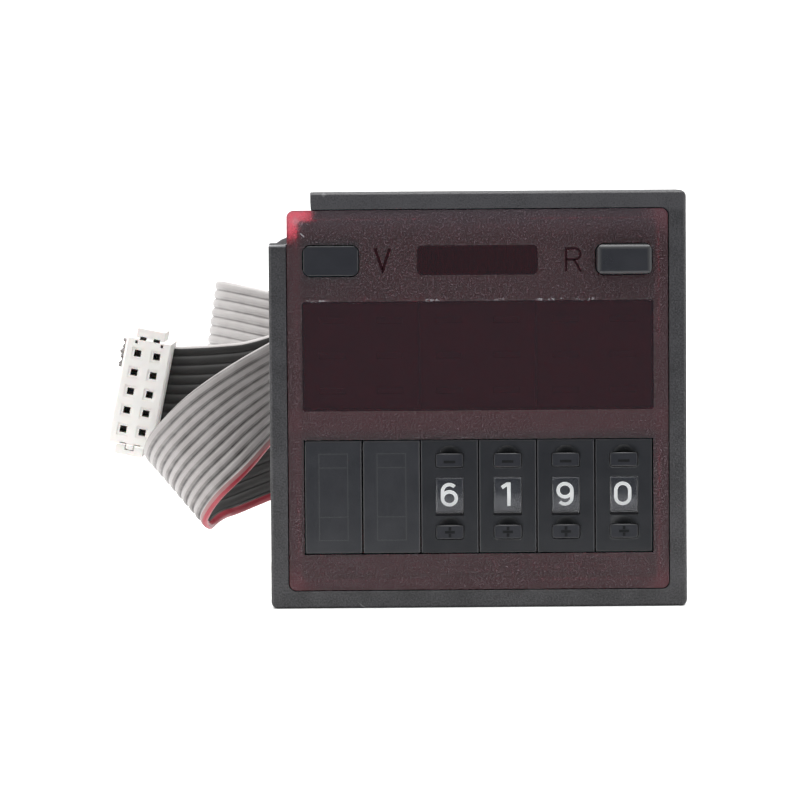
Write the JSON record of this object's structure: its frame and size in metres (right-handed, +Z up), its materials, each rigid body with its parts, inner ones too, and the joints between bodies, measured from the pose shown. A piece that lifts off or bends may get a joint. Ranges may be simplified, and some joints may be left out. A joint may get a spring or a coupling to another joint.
{
  "type": "panel counter",
  "caption": "Square panel-mount preset counter with a dark red window, digit switches with minus and plus keys, a reset key and a folded ribbon lead; one frame corner is broken off.",
  "frame": {"origin": "centre of the front frame's rear face, which seats on the panel", "axes": "+Y goes back through the panel, the front faces -Y, +Z is up, +X is right seen from the front"},
  "size_m": [0.0715, 0.1131, 0.048],
  "materials": {
    "frame_plastic": "fine matte grain, black",
    "red_window": "dark red see-through plate, matte front with polished fields",
    "housing_plastic": "black",
    "key_plastic": "black, smooth",
    "bay_plastic": "dark grey, smooth",
    "switch_plastic": "black",
    "display_plastic": "black display block",
    "wheel_plastic": "dark grey wheel with white figures",
    "clear_lens": "clear plastic",
    "board": "green circuit board",
    "chip": "black",
    "screw_steel": "zinc-plated steel",
    "ribbon_vinyl": "grey vinyl with one red edge wire",
    "connector_plastic": "white",
    "contact_brass": "plated"
  },
  "bodies": {
    "counter": {"front_frame": "frame_plastic", "front_window": "red_window", "housing": "housing_plastic", "rear_cover": "housing_plastic", "cover_screws": "screw_steel", "blank_key_plug": "key_plastic", "blank_cover_1": "bay_plastic", "blank_cover_2": "bay_plastic", "reset_switch": "switch_plastic", "front_board": "board", "led_display_1": "display_plastic", "led_display_2": "display_plastic", "led_display_3": "display_plastic", "switch_board": "board", "main_board": "board", "counter_chip": "chip", "ribbon_header": "connector_plastic", "switch_case_1": "bay_plastic", "digit_lens_1": "clear_lens", "contact_board_1": "board", "switch_case_2": "bay_plastic", "digit_lens_2": "clear_lens", "contact_board_2": "board", "switch_case_3": "bay_plastic", "digit_lens_3": "clear_lens", "contact_board_3": "board", "switch_case_4": "bay_plastic", "digit_lens_4": "clear_lens", "contact_board_4": "board", "ribbon_cable": "ribbon_vinyl", "connector_body": "connector_plastic", "connector_cap": "connector_plastic", "connector_contacts": "contact_brass"},
    "reset": {"reset_key": "key_plastic", "reset_plunger": "switch_plastic"},
    "minus_1": {"minus_key_1": "key_plastic"},
    "plus_1": {"plus_key_1": "key_plastic"},
    "wheel_1": {"digit_wheel_1": "wheel_plastic"},
    "minus_2": {"minus_key_2": "key_plastic"},
    "plus_2": {"plus_key_2": "key_plastic"},
    "wheel_2": {"digit_wheel_2": "wheel_plastic"},
    "minus_3": {"minus_key_3": "key_plastic"},
    "plus_3": {"plus_key_3": "key_plastic"},
    "wheel_3": {"digit_wheel_3": "wheel_plastic"},
    "minus_4": {"minus_key_4": "key_plastic"},
    "plus_4": {"plus_key_4": "key_plastic"},
    "wheel_4": {"digit_wheel_4": "wheel_plastic"}
  },
  "joints": [
    {"name": "reset_press", "type": "slide", "parent": "counter", "child": "reset", "axis": [0, 1, 0], "range_m": [0, 0.0008], "stiffness_N_per_m": 500, "springref_m": -0.001},
    {"name": "minus_press_1", "type": "slide", "parent": "counter", "child": "minus_1", "axis": [0, 1, 0], "range_m": [0, 0.001], "stiffness_N_per_m": 400, "springref_m": -0.001},
    {"name": "plus_press_1", "type": "slide", "parent": "counter", "child": "plus_1", "axis": [0, 1, 0], "range_m": [0, 0.001], "stiffness_N_per_m": 400, "springref_m": -0.001},
    {"name": "digit_turn_1", "type": "hinge", "parent": "counter", "child": "wheel_1", "pos_m": [-0.00335, 0.00247, -0.01115], "axis": [1, 0, 0], "continuous": true},
    {"name": "minus_press_2", "type": "slide", "parent": "counter", "child": "minus_2", "axis": [0, 1, 0], "range_m": [0, 0.001], "stiffness_N_per_m": 400, "springref_m": -0.001},
    {"name": "plus_press_2", "type": "slide", "parent": "counter", "child": "plus_2", "axis": [0, 1, 0], "range_m": [0, 0.001], "stiffness_N_per_m": 400, "springref_m": -0.001},
    {"name": "digit_turn_2", "type": "hinge", "parent": "counter", "child": "wheel_2", "pos_m": [0.00335, 0.00247, -0.01115], "axis": [1, 0, 0], "continuous": true},
    {"name": "minus_press_3", "type": "slide", "parent": "counter", "child": "minus_3", "axis": [0, 1, 0], "range_m": [0, 0.001], "stiffness_N_per_m": 400, "springref_m": -0.001},
    {"name": "plus_press_3", "type": "slide", "parent": "counter", "child": "plus_3", "axis": [0, 1, 0], "range_m": [0, 0.001], "stiffness_N_per_m": 400, "springref_m": -0.001},
    {"name": "digit_turn_3", "type": "hinge", "parent": "counter", "child": "wheel_3", "pos_m": [0.01005, 0.00247, -0.01115], "axis": [1, 0, 0], "continuous": true},
    {"name": "minus_press_4", "type": "slide", "parent": "counter", "child": "minus_4", "axis": [0, 1, 0], "range_m": [0, 0.001], "stiffness_N_per_m": 400, "springref_m": -0.001},
    {"name": "plus_press_4", "type": "slide", "parent": "counter", "child": "plus_4", "axis": [0, 1, 0], "range_m": [0, 0.001], "stiffness_N_per_m": 400, "springref_m": -0.001},
    {"name": "digit_turn_4", "type": "hinge", "parent": "counter", "child": "wheel_4", "pos_m": [0.01675, 0.00247, -0.01115], "axis": [1, 0, 0], "continuous": true}
  ]
}
